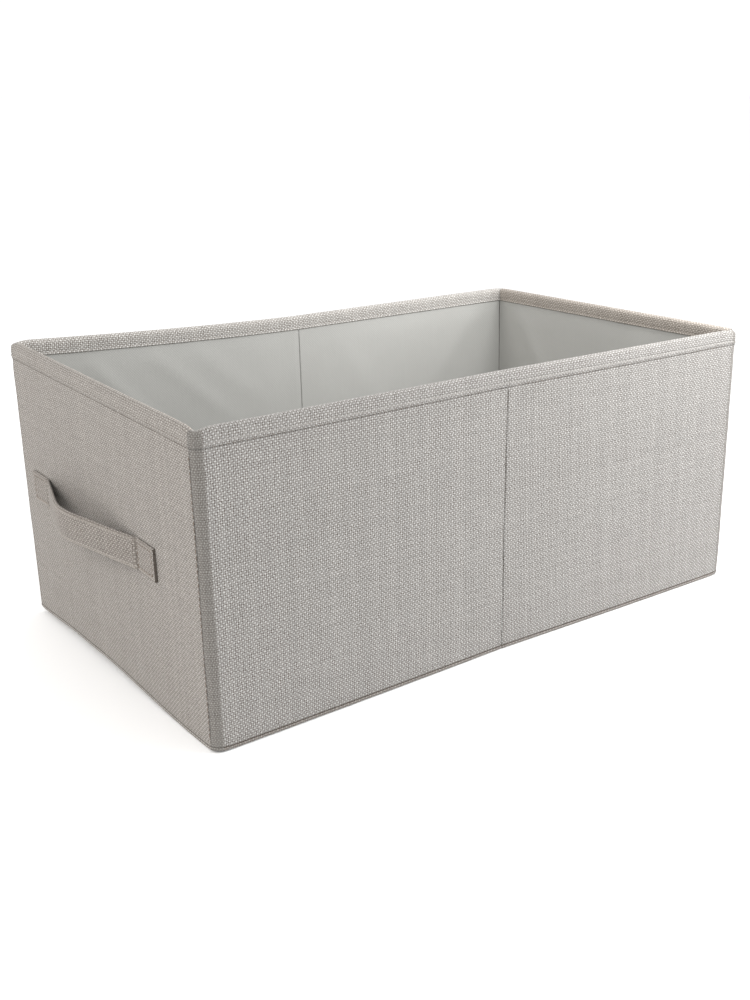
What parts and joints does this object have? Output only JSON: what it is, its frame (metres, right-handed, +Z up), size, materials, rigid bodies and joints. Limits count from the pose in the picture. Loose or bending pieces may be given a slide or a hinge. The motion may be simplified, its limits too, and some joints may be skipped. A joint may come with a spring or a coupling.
{
  "type": "fabric storage bin",
  "caption": "Open-top rectangular fabric storage bin with stiffened walls, a turned rim, a vertical crease in each long side, a soft folding bottom and a cloth strap on each end.",
  "frame": {"origin": "Middle of the underside of the bin, on the surface it stands on.", "axes": "+X along the long side, from the left end towards the right end; +Y from the front wall to the back wall; +Z up."},
  "size_m": [0.5424, 0.301, 0.22],
  "materials": {
    "outer_cloth": "coarse linen-look basket weave, warm greige, matte",
    "strap_cloth": "the outer cloth folded double, matte",
    "lining": "smooth fine plain weave, pale grey green, matte",
    "thread": "sewing thread, brownish grey",
    "board": "grey pressed paperboard, matte"
  },
  "bodies": {
    "left_end": {"left_end_cover": "outer_cloth", "left_end_board": "board", "left_end_lining": "lining", "left_end_rim_stitches": "thread", "left_strap_front_end": "strap_cloth", "left_strap_back_end": "strap_cloth", "left_strap_stitches": "thread"},
    "front_left": {"front_left_cover": "outer_cloth", "front_left_board": "board", "front_left_lining": "lining", "front_left_rim_stitches": "thread"},
    "front_right": {"front_right_cover": "outer_cloth", "front_right_board": "board", "front_right_lining": "lining", "front_right_rim_stitches": "thread"},
    "back_left": {"back_left_cover": "outer_cloth", "back_left_board": "board", "back_left_lining": "lining", "back_left_rim_stitches": "thread"},
    "back_right": {"back_right_cover": "outer_cloth", "back_right_board": "board", "back_right_lining": "lining", "back_right_rim_stitches": "thread"},
    "right_end": {"right_end_cover": "outer_cloth", "right_end_board": "board", "right_end_lining": "lining", "right_end_rim_stitches": "thread", "right_strap_front_end": "strap_cloth", "right_strap_back_end": "strap_cloth", "right_strap_stitches": "thread"},
    "bottom_left": {"bottom_cloth_left": "outer_cloth", "bottom_lining_left": "lining"},
    "bottom_right": {"bottom_cloth_right": "outer_cloth", "bottom_lining_right": "lining"},
    "left_strap": {"left_strap_grip": "strap_cloth"},
    "right_strap": {"right_strap_grip": "strap_cloth"},
    "bottom_front_left": {"bottom_cloth_front_left": "outer_cloth", "bottom_lining_front_left": "lining"},
    "bottom_front_right": {"bottom_cloth_front_right": "outer_cloth", "bottom_lining_front_right": "lining"},
    "bottom_back_left": {"bottom_cloth_back_left": "outer_cloth", "bottom_lining_back_left": "lining"},
    "bottom_back_right": {"bottom_cloth_back_right": "outer_cloth", "bottom_lining_back_right": "lining"}
  },
  "joints": [
    {"name": "wall_fold", "type": "hinge", "parent": "left_end", "child": "front_left", "pos_m": [-0.2446, -0.1446, 0.11], "axis": [0, 0, 1], "range_deg": [0, 34]},
    {"name": "front_crease", "type": "hinge", "parent": "front_left", "child": "front_right", "pos_m": [0, -0.15, 0.11], "axis": [0, 0, 1], "range_deg": [-68, 0]},
    {"name": "front_right_corner", "type": "hinge", "parent": "front_right", "child": "right_end", "pos_m": [0.2446, -0.1446, 0.11], "axis": [0, 0, 1], "range_deg": [0, 34]},
    {"name": "back_left_corner", "type": "hinge", "parent": "left_end", "child": "back_left", "pos_m": [-0.2446, 0.1446, 0.11], "axis": [0, 0, 1], "range_deg": [-34, 0]},
    {"name": "back_crease", "type": "hinge", "parent": "back_left", "child": "back_right", "pos_m": [0, 0.15, 0.11], "axis": [0, 0, 1], "range_deg": [0, 68]},
    {"name": "bottom_left_tilt", "type": "hinge", "parent": "left_end", "child": "bottom_left", "pos_m": [-0.2443, 0, 0], "axis": [0, -1, 0], "range_deg": [0, 36.25]},
    {"name": "bottom_right_tilt", "type": "hinge", "parent": "right_end", "child": "bottom_right", "pos_m": [0.2443, 0, 0], "axis": [0, 1, 0], "range_deg": [0, 36.25]},
    {"name": "left_strap_swing", "type": "hinge", "parent": "left_end", "child": "left_strap", "pos_m": [-0.25, 0.028, 0.112], "axis": [0, 1, 0], "range_deg": [-20, 20], "stiffness_Nm_per_rad": 0.03},
    {"name": "right_strap_swing", "type": "hinge", "parent": "right_end", "child": "right_strap", "pos_m": [0.25, 0.028, 0.112], "axis": [0, -1, 0], "range_deg": [-20, 20], "stiffness_Nm_per_rad": 0.03},
    {"name": "bottom_front_left_tilt", "type": "hinge", "parent": "front_left", "child": "bottom_front_left", "pos_m": [0, -0.1443, 0], "axis": [1, 0, 0], "range_deg": [0, 86.75], "deforming": ["bottom_cloth_front_left", "bottom_lining_front_left"]},
    {"name": "bottom_front_right_tilt", "type": "hinge", "parent": "front_right", "child": "bottom_front_right", "pos_m": [0, -0.1443, 0], "axis": [1, 0, 0], "range_deg": [0, 86.75], "deforming": ["bottom_cloth_front_right", "bottom_lining_front_right"]},
    {"name": "bottom_back_left_tilt", "type": "hinge", "parent": "back_left", "child": "bottom_back_left", "pos_m": [0, 0.1443, 0], "axis": [-1, 0, 0], "range_deg": [0, 86.75], "deforming": ["bottom_cloth_back_left", "bottom_lining_back_left"]},
    {"name": "bottom_back_right_tilt", "type": "hinge", "parent": "back_right", "child": "bottom_back_right", "pos_m": [0, 0.1443, 0], "axis": [-1, 0, 0], "range_deg": [0, 86.75], "deforming": ["bottom_cloth_back_right", "bottom_lining_back_right"]}
  ],
  "couplings": [
    {"joint": "front_crease", "follows": "wall_fold", "ratio": -2},
    {"joint": "front_right_corner", "follows": "wall_fold", "ratio": 1},
    {"joint": "back_left_corner", "follows": "wall_fold", "ratio": -1},
    {"joint": "back_crease", "follows": "wall_fold", "ratio": 2},
    {"joint": "bottom_left_tilt", "follows": "wall_fold", "ratio": 1.065},
    {"joint": "bottom_right_tilt", "follows": "wall_fold", "ratio": 1.065},
    {"joint": "bottom_front_left_tilt", "follows": "wall_fold", "ratio": 2.55},
    {"joint": "bottom_front_right_tilt", "follows": "wall_fold", "ratio": 2.55},
    {"joint": "bottom_back_left_tilt", "follows": "wall_fold", "ratio": 2.55},
    {"joint": "bottom_back_right_tilt", "follows": "wall_fold", "ratio": 2.55}
  ]
}
